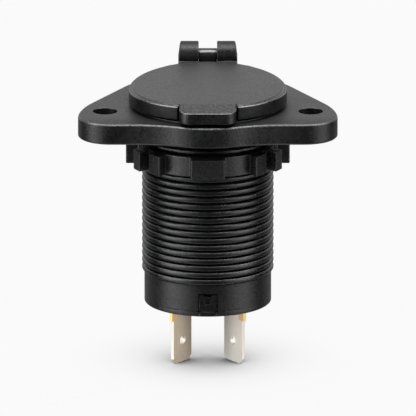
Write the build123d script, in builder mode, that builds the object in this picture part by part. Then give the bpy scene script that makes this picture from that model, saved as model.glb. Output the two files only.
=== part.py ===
"""Panel-mount 12 V socket with a hinged dust lid, a flange plate and a ring nut.

Millimetres. The origin is on the barrel's axis at the plate's underside, which is the
panel's face. +Z runs up out of the socket's mouth, -Y is the front, where the lid's thumb
tab is, and the hinge is at +Y.
"""

import os
from math import acos, cos, degrees, hypot, radians, sin

from build123d import *

# Contact sleeve, the metal liner of the socket
sleeve_bore_radius = 10.6
sleeve_wall = 0.6
sleeve_clearance = 0.05
sleeve_lip_width = 0.9
mouth_flare = 0.35
socket_depth = 32.4
tongue_width = 4.0
tongue_length = 9.0
tongue_top = -6.0
tongue_slit = 0.5
tongue_angles = (45, 165, 285)
sleeve_tab_width = 4.0
sleeve_tab_clearance = 0.15

# Floor of the socket: insulating cup, domed button and rivet
floor_thickness = 2.0
cup_rim_step = 0.2
button_sink = 0.2
floor_clearance = 0.05
shelf_thickness = 1.5
shelf_width = 1.85
button_radius = 4.0
button_shoulder_radius = 3.2
button_rim = 0.6
button_dome_height = 1.8
rivet_radius = 1.5
rivet_head_radius = 2.4
rivet_head_height = 0.6
washer_radius = 3.4
spring_washer_radius = 3.0
spring_washer_thickness = 0.4

# Barrel with its thread ridges, its head flange and its collar
barrel_wall = 2.1
thread_depth = 0.65
thread_pitch = 1.5
collar_step = 0.5
collar_height = 5.8
collar_wall = 1.5
head_overhang = 1.65
head_thickness = 0.4
head_edge_chamfer = 0.15
key_width = 3.0
key_height = 0.8
key_clearance = 0.1

# Flange plate, seen from above: round back apex, bowed sides and two front corners
plate_thickness = 4.5
plate_edge_chamfer = 0.35
screw_spacing = 43.6
screw_hole_radius = 2.6
screw_line_y = -4.65
screw_side_margin = 5.7
side_arc_radius = 22.6
side_arc_y = -8.4
front_edge_margin = 1.7
front_corner_radius = 7.1
apex_margin = 6.3
apex_y = 6.2
front_boss_margin = 1.0
front_boss_y = -3.9
front_boss_blend = 28.0
barrel_clearance = 0.1
gasket_width = 0.85
gasket_thickness = 0.8
gasket_clearance = 0.05

# Ring nut
nut_wall = 1.0
nut_height = 4.4
nut_clearance = 0.1
panel_gap = 2.9
nut_edge_chamfer = 0.15
broad_lug_height = 2.3
narrow_lug_height = 2.8
broad_lug_width = 7.2
first_lug_start = 35.0
first_lug_end = 48.0
first_lug_fall = 1.0
second_lug_start = 54.0
second_lug_end = 63.5
second_lug_fall = 0.2
lug_undercut = 2.3

# Terminal base that closes the foot of the barrel
base_rim_thickness = 1.1
base_edge_chamfer = 0.2
base_plug_height = 4.0
base_clearance = 0.1
rivet_room = 1.4
latch_width = 4.1
latch_height = 3.8
latch_flare = 0.4
latch_gap = 0.12
latch_notch_width = 1.7
latch_notch_depth = 0.4
latch_recess_size = 1.2
latch_recess_depth = 0.3
latch_recess_drop = 0.6
slot_clearance = 0.06

# Blade terminals, turned towards each other like the sides of a roof
blade_width = 6.3
blade_thickness = 0.8
blade_tip_chamfer = 1.0
blade_offset_x = 5.67
blade_turn = 53.6
blade_reach = 13.6
blade_hole_radius = 0.95
blade_hole_from_tip = 4.7
shoulder_margin = 0.55
shoulder_reach = 4.0
positive_foot_radius = 3.0
negative_foot_radius = 2.0
negative_rivet_reach = 2.2
negative_rivet_radius = 0.8
negative_rivet_head_radius = 1.3
negative_rivet_head_height = 0.5

# Dust lid, an egg in plan that is longer towards the hinge
lid_side_margin = 1.15
lid_front_margin = 0.15
lid_back_gap = 1.7
lid_gap = 0.3
lid_rim_height = 2.9
lid_plateau_height = 0.3
lid_plateau_inset = 0.75
lid_plateau_slope = 0.2
lid_wall = 1.4
lid_top_thickness = 1.5
plug_gap = 1.2
plug_wall = 1.2
plug_depth = 0.45
seal_cover = 1.05
seal_clearance = 0.05
seal_gap = 0.15

# Thumb tab on the lid's front
tab_width = 12.06
tab_reach = 2.7
tab_corner_radius = 2.4
tab_pad_length = 5.4
tab_pad_drop = 0.8
tab_groove_width = 0.3
tab_groove_depth = 0.5

# Hinge: two ears on the lid, a knuckle on the plate's post and a pin through them
hinge_setback = 2.3
hinge_rise = 0.52
ear_radius = 3.2
ear_width = 4.35
ear_lean = 0.5
ear_arm_reach = 1.0
ear_arm_root = 3.5
ear_flank_start = 1.5
knuckle_width = 3.64
knuckle_radius = 1.66
knuckle_notch_gap = 0.5
knuckle_side_gap = 0.15
pin_radius = 0.8
pin_clearance = 0.05
pin_end_setback = 0.4

# Heels on the ears and pads on the plate that stop the lid when it stands open
lid_open_angle = 100.0
heel_bite = 0.24
heel_tip_radius = 0.5
stop_gap = 0.06
ear_pad_gap = 0.22
stop_pad_shift = 0.1
stop_pad_depth = 1.4
stop_pad_width = 3.0

# Radii and widths that follow from the sizes above
sleeve_radius = sleeve_bore_radius + sleeve_wall
barrel_bore_radius = sleeve_radius + sleeve_clearance
lip_seat_radius = barrel_bore_radius + sleeve_lip_width
valley_radius = barrel_bore_radius + barrel_wall
thread_radius = valley_radius + thread_depth
collar_radius = thread_radius - collar_step
collar_bore_radius = collar_radius - collar_wall
base_plug_radius = collar_bore_radius - base_clearance
head_radius = thread_radius + head_overhang
shelf_radius = barrel_bore_radius - shelf_width
cup_rim_radius = sleeve_bore_radius - cup_rim_step
sleeve_tab_outer_x = (sleeve_radius**2 - (sleeve_tab_width / 2) ** 2) ** 0.5
sleeve_tab_inner_x = sleeve_tab_outer_x - sleeve_wall
nut_bore_radius = thread_radius + nut_clearance
nut_root_radius = nut_bore_radius + nut_wall
broad_lug_reach = nut_root_radius + broad_lug_height
nut_radius = nut_root_radius + narrow_lug_height
plate_hole_radius = thread_radius + barrel_clearance
plate_half_width = screw_spacing / 2 + screw_side_margin
plate_front_y = -(thread_radius + front_edge_margin)
apex_radius = thread_radius + apex_margin
front_boss_radius = thread_radius + front_boss_margin
shoulder_width = blade_width + 2 * shoulder_margin
plug_radius = sleeve_bore_radius - plug_gap
seal_outer_radius = lip_seat_radius + seal_cover
hinge_y = apex_y + apex_radius - hinge_setback
lid_half_width = head_radius + lid_side_margin
lid_front_reach = head_radius + lid_front_margin
lid_back_reach = hinge_y - lid_back_gap
tab_front_y = -(lid_front_reach + tab_reach)
ear_arm_root_y = lid_back_reach - ear_arm_root
ear_inner_x = knuckle_width / 2 + knuckle_side_gap
ear_outer_x = ear_inner_x + ear_width
ear_top_outer_x = ear_outer_x - ear_lean

# Heights that follow, from the lid's ears down to the blades' tips
head_top_z = plate_thickness + head_thickness
lid_bottom_z = head_top_z + lid_gap
lid_rim_top_z = lid_bottom_z + lid_rim_height
lid_top_z = lid_rim_top_z + lid_plateau_height
lid_under_z = lid_top_z - lid_top_thickness
plug_bottom_z = head_top_z - plug_depth
hinge_z = lid_top_z + hinge_rise
ear_top_z = hinge_z + ear_radius
nut_top_z = -panel_gap
floor_top_z = head_top_z - socket_depth
floor_bottom_z = floor_top_z - floor_thickness
shelf_bottom_z = floor_bottom_z - shelf_thickness
foot_top_z = floor_bottom_z - sleeve_wall
foot_bottom_z = foot_top_z - blade_thickness
rivet_head_z = floor_top_z + button_dome_height
sleeve_foot_z = rivet_head_z + rivet_head_height + button_sink
rivet_tail_z = foot_bottom_z - spring_washer_thickness
base_plug_top_z = rivet_tail_z - rivet_head_height - rivet_room
collar_bottom_z = base_plug_top_z - base_plug_height
thread_turns = round((-collar_bottom_z - collar_height) / thread_pitch)
thread_end_z = -thread_pitch * thread_turns
base_bottom_z = collar_bottom_z - base_rim_thickness
shoulder_z = base_bottom_z - shoulder_reach
blade_tip_z = base_bottom_z - blade_reach

# Where the lid's heels lie while it is shut, so that they meet the pads when it is open
stop_pad_top_z = hinge_z - ear_radius - ear_pad_gap
heel_drop = hinge_z - stop_pad_top_z - stop_gap - heel_tip_radius
heel_arm = heel_drop + heel_bite
heel_lift = lid_open_angle - 90 + degrees(acos(heel_drop / heel_arm))
heel_y = hinge_y + heel_arm * cos(radians(heel_lift))
heel_z = hinge_z + heel_arm * sin(radians(heel_lift))
ear_back_y = hinge_y + heel_arm + heel_tip_radius


def egg_sketch(inset):
    """The lid's plan, drawn in by inset."""
    half_width = lid_half_width - inset
    with BuildSketch(mode=Mode.PRIVATE) as egg:
        with BuildLine():
            EllipticalCenterArc((0, 0), half_width, lid_back_reach - inset, 0, arc_size=180)
            EllipticalCenterArc((0, 0), half_width, lid_front_reach - inset, 180, arc_size=180)
        make_face()
    return egg.sketch


def blade_plane(side, z):
    """Level plane at a blade's centre, its x along the blade's width and y across it."""
    along = (-side * cos(radians(blade_turn)), sin(radians(blade_turn)), 0)
    return Plane(origin=(side * blade_offset_x, 0, z), x_dir=along, z_dir=(0, 0, 1))


def blade_side_plane(side):
    """Upright plane in the middle of a blade, its x along the width and y up."""
    level = blade_plane(side, 0)
    return Plane(origin=level.origin, x_dir=level.x_dir, z_dir=-level.y_dir)


def negative_rivet_place():
    """Centre of the rivet that joins the sleeve's tab to the negative terminal."""
    level = blade_plane(1, 0)
    place = level.origin - level.y_dir * negative_rivet_reach
    return place.X, place.Y


# Flange plate with its screw holes, keyed barrel hole and gasket counterbore
with BuildPart() as mounting_plate:
    with BuildSketch():
        with Locations((0, apex_y)):
            Circle(apex_radius)
        side_arc_x = plate_half_width - side_arc_radius
        with Locations((-side_arc_x, side_arc_y), (side_arc_x, side_arc_y)):
            Circle(side_arc_radius)
        make_hull()
        with Locations((0, side_arc_y)):
            Rectangle(
                2 * plate_half_width,
                apex_y + apex_radius - side_arc_y,
                align=(Align.CENTER, Align.MIN),
                mode=Mode.INTERSECT,
            )
        with Locations((0, side_arc_y)):
            Rectangle(
                2 * plate_half_width, side_arc_y - plate_front_y, align=(Align.CENTER, Align.MAX)
            )
        fillet(vertices().group_by(Axis.Y)[0], front_corner_radius)
        with Locations((0, front_boss_y)):
            Circle(front_boss_radius)
        front_corners = vertices().group_by(Axis.Y)[0]
        boss_joins = sorted(front_corners, key=lambda corner: abs(corner.X))[:2]
        fillet(boss_joins, front_boss_blend)
    extrude(amount=plate_thickness)
    chamfer(faces().filter_by(Axis.Z).edges(), plate_edge_chamfer)
    with BuildSketch():
        with Locations((-screw_spacing / 2, screw_line_y), (screw_spacing / 2, screw_line_y)):
            Circle(screw_hole_radius)
        Circle(plate_hole_radius)
        with Locations((0, thread_radius)):
            Rectangle(key_width + 2 * key_clearance, 2 * (key_height + key_clearance))
    extrude(amount=plate_thickness, mode=Mode.SUBTRACT)
    with BuildSketch(Plane.XY.offset(plate_thickness - gasket_thickness)):
        Circle(plate_hole_radius + gasket_width + gasket_clearance)
    extrude(amount=gasket_thickness, mode=Mode.SUBTRACT)
    # Hinge post and knuckle, between the lid's ears
    with BuildSketch(Plane.YZ):
        with Locations((hinge_y, hinge_z)):
            Circle(knuckle_radius)
        with Locations((hinge_y, hinge_z)):
            Rectangle(
                2 * knuckle_radius,
                hinge_z - plate_thickness / 2,
                align=(Align.CENTER, Align.MAX),
            )
        with Locations((hinge_y, hinge_z)):
            Circle(pin_radius + pin_clearance, mode=Mode.SUBTRACT)
    extrude(amount=knuckle_width / 2, both=True)
    # Pads behind the post that stop the lid's heels when it stands open
    pad_foot_z = plate_thickness - plate_edge_chamfer
    with BuildSketch(Plane.XY.offset(pad_foot_z)):
        with GridLocations(ear_inner_x + ear_outer_x, 0, 2, 1):
            with Locations((0, hinge_y + stop_pad_shift)):
                Rectangle(stop_pad_width, stop_pad_depth, align=(Align.CENTER, Align.MIN))
    extrude(amount=stop_pad_top_z - pad_foot_z)
mounting_plate.part.label = "mounting_plate"

# Rubber ring in the plate's counterbore
with BuildPart() as head_gasket:
    with BuildSketch(Plane.XY.offset(plate_thickness - gasket_thickness)):
        Circle(plate_hole_radius + gasket_width)
        Circle(plate_hole_radius, mode=Mode.SUBTRACT)
    extrude(amount=gasket_thickness)
head_gasket.part.label = "head_gasket"

# Barrel: half section turned about Z, with one ridge for each turn of thread
outer_points = [(head_radius - head_edge_chamfer, head_top_z)]
outer_points += [(head_radius, head_top_z - head_edge_chamfer), (head_radius, plate_thickness)]
outer_points += [(thread_radius, plate_thickness), (thread_radius, 0)]
for turn in range(thread_turns):
    ridge_top_z = -thread_pitch * turn
    outer_points.append((valley_radius, ridge_top_z))
    outer_points.append((thread_radius, ridge_top_z - thread_pitch / 2))
outer_points.append((valley_radius, thread_end_z))
outer_points.append((collar_radius, thread_end_z))
outer_points.append((collar_radius, collar_bottom_z))
inner_points = [
    (collar_bore_radius, collar_bottom_z),
    (collar_bore_radius, shelf_bottom_z),
    (shelf_radius, shelf_bottom_z),
    (shelf_radius, floor_bottom_z),
    (barrel_bore_radius, floor_bottom_z),
    (barrel_bore_radius, head_top_z - sleeve_wall),
    (lip_seat_radius, head_top_z - sleeve_wall),
    (lip_seat_radius, head_top_z),
]
rivet_x, rivet_y = negative_rivet_place()
rivet_distance = hypot(rivet_x, rivet_y)
tab_plane = Plane(
    origin=(0, 0, foot_top_z), x_dir=Vector(rivet_x, rivet_y, 0).normalized(), z_dir=(0, 0, 1)
)
with BuildPart() as socket_body:
    with BuildSketch(Plane.XZ):
        with BuildLine():
            Polyline(*outer_points, *inner_points, close=True)
        make_face()
    revolve(axis=Axis.Z)
    # Key that stops the barrel turning in the plate
    with BuildSketch():
        with Locations((0, thread_radius)):
            Rectangle(key_width, 2 * key_height)
        Circle((barrel_bore_radius + thread_radius) / 2, mode=Mode.SUBTRACT)
    extrude(amount=plate_thickness - gasket_thickness)
    # Latch windows in the collar, open at its foot and flared there
    with BuildSketch(Plane.XZ):
        with BuildLine():
            Polyline(
                (-latch_width / 2 - latch_flare, collar_bottom_z),
                (-latch_width / 2, collar_bottom_z + latch_flare),
                (-latch_width / 2, collar_bottom_z + latch_height),
                (latch_width / 2, collar_bottom_z + latch_height),
                (latch_width / 2, collar_bottom_z + latch_flare),
                (latch_width / 2 + latch_flare, collar_bottom_z),
                close=True,
            )
        make_face()
    extrude(amount=thread_radius, both=True, mode=Mode.SUBTRACT)
    # Way through the shelf for the sleeve's tab
    with BuildSketch(tab_plane.offset(floor_bottom_z - foot_top_z)):
        Rectangle(
            barrel_bore_radius,
            sleeve_tab_width + 2 * sleeve_tab_clearance,
            align=(Align.MIN, Align.CENTER),
        )
    extrude(amount=-shelf_thickness, mode=Mode.SUBTRACT)
socket_body.part.label = "socket_body"

# Clamping nut with broad lugs at the quarters and two narrow slanted ones in each quarter
with BuildPart() as ring_nut:
    with BuildSketch(Plane.XY.offset(nut_top_z)):
        with PolarLocations(0, 4):
            Rectangle(broad_lug_reach, broad_lug_width, align=(Align.MIN, Align.CENTER))
        # Narrow lugs of one quarter, as radii and angles from the front, then mirrored
        for start, end, fall in (
            (first_lug_start, first_lug_end, first_lug_fall),
            (second_lug_start, second_lug_end, second_lug_fall),
        ):
            corners = [
                (nut_radius, start),
                (nut_radius - fall, end),
                (nut_bore_radius, end),
                (nut_bore_radius, start + lug_undercut),
            ]
            with BuildLine():
                Polyline(
                    *[(reach * sin(radians(turn)), -reach * cos(radians(turn))) for reach, turn in corners],
                    close=True,
                )
            make_face()
        mirror(about=Plane.YZ)
        mirror(about=Plane.XZ)
        Circle(nut_root_radius)
        Circle(nut_bore_radius, mode=Mode.SUBTRACT)
    extrude(amount=-nut_height)
    outer_rims = [face.outer_wire().edges() for face in faces().filter_by(Axis.Z)]
    chamfer(outer_rims[0] + outer_rims[1], nut_edge_chamfer)
ring_nut.part.label = "ring_nut"

# Metal liner of the socket: lip, tube with spring tongues, and a tab to its terminal
with BuildPart() as contact_sleeve:
    with BuildSketch(Plane.XZ):
        with BuildLine():
            Polyline(
                (sleeve_bore_radius, sleeve_foot_z),
                (sleeve_radius, sleeve_foot_z),
                (sleeve_radius, head_top_z - sleeve_wall),
                (sleeve_radius + sleeve_lip_width, head_top_z - sleeve_wall),
                (sleeve_radius + sleeve_lip_width, head_top_z),
                (sleeve_bore_radius + mouth_flare, head_top_z),
                (sleeve_bore_radius, head_top_z - sleeve_wall),
                close=True,
            )
        make_face()
    revolve(axis=Axis.Z)
    # Three U-shaped slits free the spring tongues
    for tongue_angle in tongue_angles:
        outward = Vector(cos(radians(tongue_angle)), sin(radians(tongue_angle)), 0)
        with BuildSketch(Plane(origin=(0, 0, tongue_top), x_dir=(-outward.Y, outward.X, 0), z_dir=outward)):
            Rectangle(
                tongue_width + 2 * tongue_slit,
                tongue_length + tongue_slit,
                align=(Align.CENTER, Align.MAX),
            )
            Rectangle(tongue_width, tongue_length, align=(Align.CENTER, Align.MAX), mode=Mode.SUBTRACT)
        extrude(amount=2 * sleeve_radius, mode=Mode.SUBTRACT)
    # Flat tab down past the floor and in under it
    with BuildSketch(tab_plane):
        with Locations((sleeve_tab_outer_x, 0)):
            Rectangle(
                sleeve_tab_outer_x - rivet_distance + negative_rivet_head_radius,
                sleeve_tab_width,
                align=(Align.MAX, Align.CENTER),
            )
        with Locations((rivet_distance, 0)):
            Circle(negative_rivet_radius, mode=Mode.SUBTRACT)
    extrude(amount=sleeve_wall)
    with BuildSketch(tab_plane):
        with Locations((sleeve_tab_inner_x, 0)):
            Rectangle(sleeve_wall, sleeve_tab_width, align=(Align.MIN, Align.CENTER))
    extrude(amount=sleeve_foot_z - foot_top_z)
contact_sleeve.part.label = "contact_sleeve"

# Insulating cup under the sleeve, notched for its tab and hollowed over the small rivet's head
with BuildPart() as insulator_cup:
    with BuildSketch(Plane.XY.offset(floor_bottom_z)):
        Circle(sleeve_radius - floor_clearance)
        Circle(rivet_radius, mode=Mode.SUBTRACT)
    extrude(amount=sleeve_foot_z - floor_bottom_z)
    with BuildSketch(Plane.XY.offset(floor_top_z)):
        Circle(cup_rim_radius)
    extrude(amount=sleeve_foot_z - floor_top_z, mode=Mode.SUBTRACT)
    notch_width = sleeve_tab_width + 2 * sleeve_tab_clearance
    with BuildSketch(tab_plane.offset(sleeve_wall)):
        with Locations((sleeve_tab_inner_x - sleeve_tab_clearance, 0)):
            Rectangle(
                sleeve_radius - sleeve_tab_inner_x + sleeve_tab_clearance,
                notch_width,
                align=(Align.MIN, Align.CENTER),
            )
    extrude(amount=floor_thickness, mode=Mode.SUBTRACT)
    with BuildSketch(tab_plane.offset(floor_top_z - foot_top_z)):
        Rectangle(sleeve_radius, notch_width, align=(Align.MIN, Align.CENTER))
    extrude(amount=sleeve_foot_z - floor_top_z, mode=Mode.SUBTRACT)
    with BuildSketch(tab_plane.offset(sleeve_wall)):
        with Locations((rivet_distance, 0)):
            Circle(negative_rivet_head_radius + sleeve_tab_clearance)
    extrude(amount=negative_rivet_head_height + sleeve_tab_clearance, mode=Mode.SUBTRACT)
insulator_cup.part.label = "insulator_cup"

# Raised button of the centre contact
with BuildPart() as centre_contact:
    with BuildSketch(Plane.XZ):
        with BuildLine():
            Polyline(
                (rivet_radius, floor_top_z),
                (button_radius, floor_top_z),
                (button_radius, floor_top_z + button_rim),
                (button_shoulder_radius, floor_top_z + button_rim),
                (rivet_head_radius, floor_top_z + button_dome_height),
                (rivet_radius, floor_top_z + button_dome_height),
                close=True,
            )
        make_face()
    revolve(axis=Axis.Z)
centre_contact.part.label = "centre_contact"

# Rivet through the button, the floor, the washer and the positive terminal's foot
with BuildPart() as contact_rivet:
    with BuildSketch(Plane.XZ):
        with BuildLine():
            Polyline(
                (0, rivet_head_z + rivet_head_height),
                (rivet_radius, rivet_head_z + rivet_head_height),
                (rivet_head_radius, rivet_head_z),
                (rivet_radius, rivet_head_z),
                (rivet_radius, rivet_tail_z),
                (rivet_head_radius, rivet_tail_z),
                (rivet_radius, rivet_tail_z - rivet_head_height),
                (0, rivet_tail_z - rivet_head_height),
                close=True,
            )
        make_face()
    revolve(axis=Axis.Z)
contact_rivet.part.label = "contact_rivet"

# Spacer under the floor, as thick as the sleeve's tab beside it
with BuildPart() as insulator_washer:
    with BuildSketch(Plane.XY.offset(foot_top_z)):
        Circle(washer_radius)
        Circle(rivet_radius, mode=Mode.SUBTRACT)
    extrude(amount=sleeve_wall)
insulator_washer.part.label = "insulator_washer"

# Washer between the foot and the rivet's tail
with BuildPart() as spring_washer:
    with BuildSketch(Plane.XY.offset(rivet_tail_z)):
        Circle(spring_washer_radius)
        Circle(rivet_radius, mode=Mode.SUBTRACT)
    extrude(amount=spring_washer_thickness)
    chamfer(faces().sort_by(Axis.Z)[0].edges().sort_by(SortBy.RADIUS)[-1], spring_washer_thickness / 2)
spring_washer.part.label = "spring_washer"

# Rivet that joins the sleeve's tab to the negative terminal's foot
with BuildPart() as negative_rivet:
    with BuildSketch(Plane.XY.offset(foot_bottom_z)):
        with Locations((rivet_x, rivet_y)):
            Circle(negative_rivet_radius)
    extrude(amount=floor_bottom_z - foot_bottom_z)
    for head_plane in (Plane.XY.offset(floor_bottom_z), -Plane.XY.offset(foot_bottom_z)):
        with BuildSketch(head_plane):
            with Locations(head_plane.to_local_coords(Vector(rivet_x, rivet_y, head_plane.origin.Z))):
                Circle(negative_rivet_head_radius)
        extrude(amount=negative_rivet_head_height)
negative_rivet.part.label = "negative_rivet"


def terminal_blade(side):
    """The upright strip of one terminal, with its shoulders, hole and chamfered tip."""
    with BuildPart(mode=Mode.PRIVATE) as strip:
        with BuildSketch(blade_side_plane(side)):
            with Locations((0, foot_top_z)):
                Rectangle(shoulder_width, foot_top_z - shoulder_z, align=(Align.CENTER, Align.MAX))
            with Locations((0, foot_top_z)):
                Rectangle(blade_width, foot_top_z - blade_tip_z, align=(Align.CENTER, Align.MAX))
            chamfer(vertices().group_by(Axis.Y)[0], blade_tip_chamfer)
            with Locations((0, blade_tip_z + blade_hole_from_tip)):
                Circle(blade_hole_radius, mode=Mode.SUBTRACT)
        extrude(amount=blade_thickness / 2, both=True)
    return strip.part


# Positive terminal: its foot reaches the rivet on the axis
with BuildPart() as positive_terminal:
    add(terminal_blade(-1))
    with BuildSketch(Plane.XY.offset(foot_bottom_z)):
        Circle(positive_foot_radius)
        with Locations(Location((-blade_offset_x, 0), blade_turn)):
            Rectangle(shoulder_width, blade_thickness)
        make_hull()
        Circle(rivet_radius, mode=Mode.SUBTRACT)
    extrude(amount=blade_thickness)
positive_terminal.part.label = "positive_terminal"

# Negative terminal: its foot reaches the small rivet under the sleeve's tab
with BuildPart() as negative_terminal:
    add(terminal_blade(1))
    with BuildSketch(Plane.XY.offset(foot_bottom_z)):
        with Locations((rivet_x, rivet_y)):
            Circle(negative_foot_radius)
        with Locations(Location((blade_offset_x, 0), -blade_turn)):
            Rectangle(shoulder_width, blade_thickness)
        make_hull()
        with Locations((rivet_x, rivet_y)):
            Circle(negative_rivet_radius, mode=Mode.SUBTRACT)
    extrude(amount=blade_thickness)
negative_terminal.part.label = "negative_terminal"

# Terminal base: rim, plug, latch tongues and the two blade slots
with BuildPart() as terminal_base:
    with BuildSketch(Plane.XY.offset(base_bottom_z)):
        Circle(collar_radius)
    extrude(amount=base_rim_thickness)
    chamfer(faces().sort_by(Axis.Z)[0].edges(), base_edge_chamfer)
    with BuildSketch(Plane.XY.offset(collar_bottom_z)):
        Circle(base_plug_radius)
    extrude(amount=base_plug_height)
    with BuildSketch(Plane.XZ):
        with Locations((0, collar_bottom_z)):
            Rectangle(
                latch_width - 2 * latch_gap, latch_height - latch_gap, align=(Align.CENTER, Align.MIN)
            )
        with Locations((0, collar_bottom_z + latch_height)):
            Rectangle(
                latch_notch_width,
                latch_notch_depth + latch_gap,
                align=(Align.CENTER, Align.MAX),
                mode=Mode.SUBTRACT,
            )
    extrude(amount=collar_radius - latch_gap, both=True)
    # Round the tongues to the collar and sink a small square into each
    with BuildSketch(Plane.XY.offset(base_bottom_z)):
        Circle(collar_radius)
    extrude(amount=base_rim_thickness + latch_height, mode=Mode.INTERSECT)
    recess_z = collar_bottom_z + latch_height - latch_notch_depth - latch_recess_drop
    for front in (-1, 1):
        with BuildSketch(Plane.XZ.offset(front * (collar_radius - latch_gap))):
            with Locations((0, recess_z)):
                Rectangle(latch_recess_size, latch_recess_size, align=(Align.CENTER, Align.MAX))
        extrude(amount=-front * latch_recess_depth, mode=Mode.SUBTRACT)
    for side in (-1, 1):
        with BuildSketch(blade_plane(side, base_bottom_z)):
            Rectangle(shoulder_width + 2 * slot_clearance, blade_thickness + 2 * slot_clearance)
        extrude(amount=base_rim_thickness + base_plug_height, mode=Mode.SUBTRACT)
terminal_base.part.label = "terminal_base"

# Lid: egg-shaped cap with a raised top, hollow below, with a plug ring for the mouth
with BuildPart() as lid:
    with BuildSketch(Plane.XY.offset(lid_bottom_z)):
        add(egg_sketch(0))
    extrude(amount=lid_rim_height)
    with BuildSketch(Plane.XY.offset(lid_rim_top_z)):
        add(egg_sketch(lid_plateau_inset))
    with BuildSketch(Plane.XY.offset(lid_top_z)):
        add(egg_sketch(lid_plateau_inset + lid_plateau_slope))
    loft(ruled=True)
    # Thumb tab, rounded at its corners, with a sloping pad on top
    tab_length = tab_pad_length + tab_corner_radius
    with BuildSketch(Plane.XY.offset(lid_bottom_z)):
        with Locations((0, tab_front_y + tab_length / 2)):
            RectangleRounded(tab_width, tab_length, tab_corner_radius)
    extrude(amount=lid_top_z - lid_bottom_z)
    with BuildSketch(Plane.YZ):
        with BuildLine():
            Polyline(
                (tab_front_y + tab_pad_length, lid_top_z),
                (tab_front_y, lid_top_z - tab_pad_drop),
                (tab_front_y, lid_top_z),
                close=True,
            )
        make_face()
    extrude(amount=tab_width / 2, both=True, mode=Mode.SUBTRACT)
    # Hollow underside with a ring that enters the socket's mouth
    with BuildSketch(Plane.XY.offset(lid_bottom_z)):
        add(egg_sketch(lid_plateau_inset + lid_wall))
    extrude(amount=lid_under_z - lid_bottom_z, mode=Mode.SUBTRACT)
    with BuildSketch(Plane.XY.offset(plug_bottom_z)):
        Circle(plug_radius)
        Circle(plug_radius - plug_wall, mode=Mode.SUBTRACT)
    extrude(amount=lid_under_z - plug_bottom_z)
    # Ears with their arms and stop heels
    for side in (-1, 1):
        with BuildSketch(Plane.YZ.offset(side * ear_inner_x)):
            with Locations((hinge_y, hinge_z)):
                Circle(ear_radius)
            with Locations((heel_y, heel_z)):
                Circle(heel_tip_radius)
            make_hull()
            with Locations((ear_arm_root_y, lid_bottom_z)):
                Rectangle(
                    hinge_y - ear_arm_reach - ear_arm_root_y,
                    lid_top_z - lid_bottom_z,
                    align=(Align.MIN, Align.MIN),
                )
        extrude(amount=side * ear_width)
    # Outer flanks of the ears lean in towards their tops
    with BuildSketch(Plane.XZ.offset(ear_flank_start - lid_back_reach)):
        for side in (-1, 1):
            with BuildLine():
                Polyline(
                    (side * ear_outer_x, lid_top_z),
                    (side * ear_top_outer_x, ear_top_z),
                    (side * ear_top_outer_x, ear_top_z + ear_lean),
                    (side * ear_outer_x, ear_top_z + ear_lean),
                    close=True,
                )
            make_face()
    extrude(amount=lid_back_reach - ear_flank_start - ear_back_y, mode=Mode.SUBTRACT)
    # Straight notch between the ears for the knuckle
    with BuildSketch(Plane.XY.offset(lid_bottom_z)):
        with Locations((0, hinge_y - knuckle_radius - knuckle_notch_gap)):
            Rectangle(
                2 * ear_inner_x,
                knuckle_radius + knuckle_notch_gap,
                align=(Align.CENTER, Align.MIN),
            )
    extrude(amount=lid_top_z - lid_bottom_z, mode=Mode.SUBTRACT)
    # Hole for the hinge pin
    with BuildSketch(Plane.YZ):
        with Locations((hinge_y, hinge_z)):
            Circle(pin_radius)
    extrude(amount=ear_outer_x, both=True, mode=Mode.SUBTRACT)
    # Fine grooves between the tab's root and the rim
    with BuildSketch(Plane.XY.offset(lid_bottom_z)):
        for side in (-1, 1):
            groove_x = tab_width / 2 + tab_groove_width / 2
            rim_y = -lid_front_reach * (1 - (groove_x / lid_half_width) ** 2) ** 0.5
            with Locations((side * groove_x, rim_y + tab_groove_depth)):
                Rectangle(tab_groove_width, 2 * tab_groove_depth, align=(Align.CENTER, Align.MAX))
    extrude(amount=lid_rim_height + lid_plateau_height, mode=Mode.SUBTRACT)
lid.part.label = "lid"

# Rubber ring under the lid, round the plug ring
with BuildPart() as lid_seal:
    with BuildSketch(Plane.XY.offset(head_top_z + seal_gap)):
        Circle(seal_outer_radius)
        Circle(plug_radius + seal_clearance, mode=Mode.SUBTRACT)
    extrude(amount=lid_under_z - head_top_z - seal_gap)
lid_seal.part.label = "lid_seal"

# Steel pin, pressed in the ears and free in the knuckle
with BuildPart() as hinge_pin:
    with BuildSketch(Plane.YZ):
        with Locations((hinge_y, hinge_z)):
            Circle(pin_radius)
    extrude(amount=ear_top_outer_x - pin_end_setback, both=True)
hinge_pin.part.label = "hinge_pin"

named_parts = [
    mounting_plate,
    head_gasket,
    socket_body,
    ring_nut,
    contact_sleeve,
    insulator_cup,
    centre_contact,
    contact_rivet,
    insulator_washer,
    spring_washer,
    negative_rivet,
    positive_terminal,
    negative_terminal,
    terminal_base,
    lid,
    lid_seal,
    hinge_pin,
]
os.makedirs("parts", exist_ok=True)
for piece in named_parts:
    export_step(piece.part, f"parts/{piece.part.label}.step")
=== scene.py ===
"""Panel-mount 12 V socket with a dust lid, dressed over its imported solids, in metres."""

from math import cos, pi, radians, sin

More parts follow.
